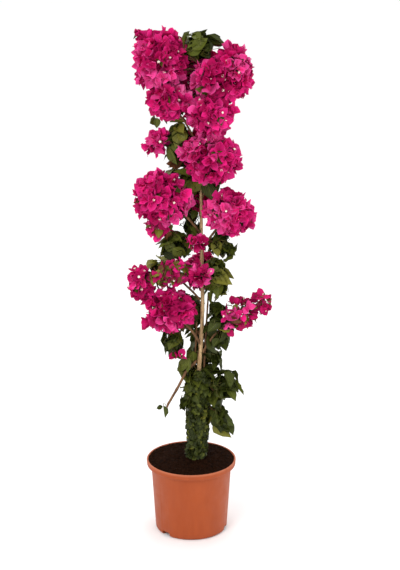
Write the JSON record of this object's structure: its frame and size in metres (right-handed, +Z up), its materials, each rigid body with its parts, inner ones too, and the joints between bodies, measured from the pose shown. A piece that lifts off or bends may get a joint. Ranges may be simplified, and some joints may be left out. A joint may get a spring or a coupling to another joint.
{
  "type": "potted bougainvillea column",
  "caption": "Slim bougainvillea trained up as a column, with magenta bloom masses, leaves and a woody stem, in a round terracotta-coloured nursery pot.",
  "frame": {"origin": "centre of the flat underside of the pot", "axes": "+Z up the plant, -Y towards the front from which it is usually seen, +X to the front's right"},
  "size_m": [0.2921, 0.19, 1.0507],
  "materials": {
    "pot": "matte moulded terracotta-coloured plastic",
    "soil": "dark moist potting compost",
    "bark": "dry tan bark",
    "bract": "papery magenta bracts",
    "leaf": "satin dark green leaves"
  },
  "bodies": {
    "root": {"bloom_back_crown": "bract", "bloom_back_low": "bract", "bloom_back_middle": "bract", "bloom_back_neck": "bract", "bloom_back_upper": "bract", "bloom_band_centre": "bract", "bloom_band_left": "bract", "bloom_centre_tuft": "bract", "bloom_crown_left": "bract", "bloom_crown_left_low": "bract", "bloom_crown_right": "bract", "bloom_knob": "bract", "bloom_left_tuft": "bract", "bloom_low_tuft": "bract", "bloom_lower_left": "bract", "bloom_middle_left": "bract", "bloom_middle_right": "bract", "bloom_neck": "bract", "bloom_shoulder": "bract", "bloom_small_left": "bract", "bloom_spray": "bract", "bloom_spray_tip": "bract", "bough_back_lower": "bark", "bough_back_upper": "bark", "bough_crown_back": "bark", "bough_crown_left": "bark", "bough_knob": "bark", "bough_low_right": "bark", "bough_lower_left": "bark", "bough_middle_left": "bark", "bough_middle_right": "bark", "bough_shoulder": "bark", "bough_small_left": "bark", "bough_spray": "bark", "foliage_back_foot": "leaf", "foliage_back_lower": "leaf", "foliage_centre": "leaf", "foliage_crown": "leaf", "foliage_foot_left": "leaf", "foliage_foot_right": "leaf", "foliage_foot_sleeve": "leaf", "foliage_left": "leaf", "foliage_left_fringe": "leaf", "foliage_left_leaf": "leaf", "foliage_left_spur": "leaf", "foliage_low": "leaf", "foliage_right": "leaf", "foliage_right_low": "leaf", "foliage_right_lower": "leaf", "foliage_right_upper": "leaf", "foliage_twig_tip": "leaf", "foliage_upper": "leaf", "foliage_waist": "leaf", "pot": "pot", "soil": "soil", "stem": "bark", "stem_left": "bark", "stem_right": "bark", "twig_low_left": "bark"}
  },
  "joints": []
}
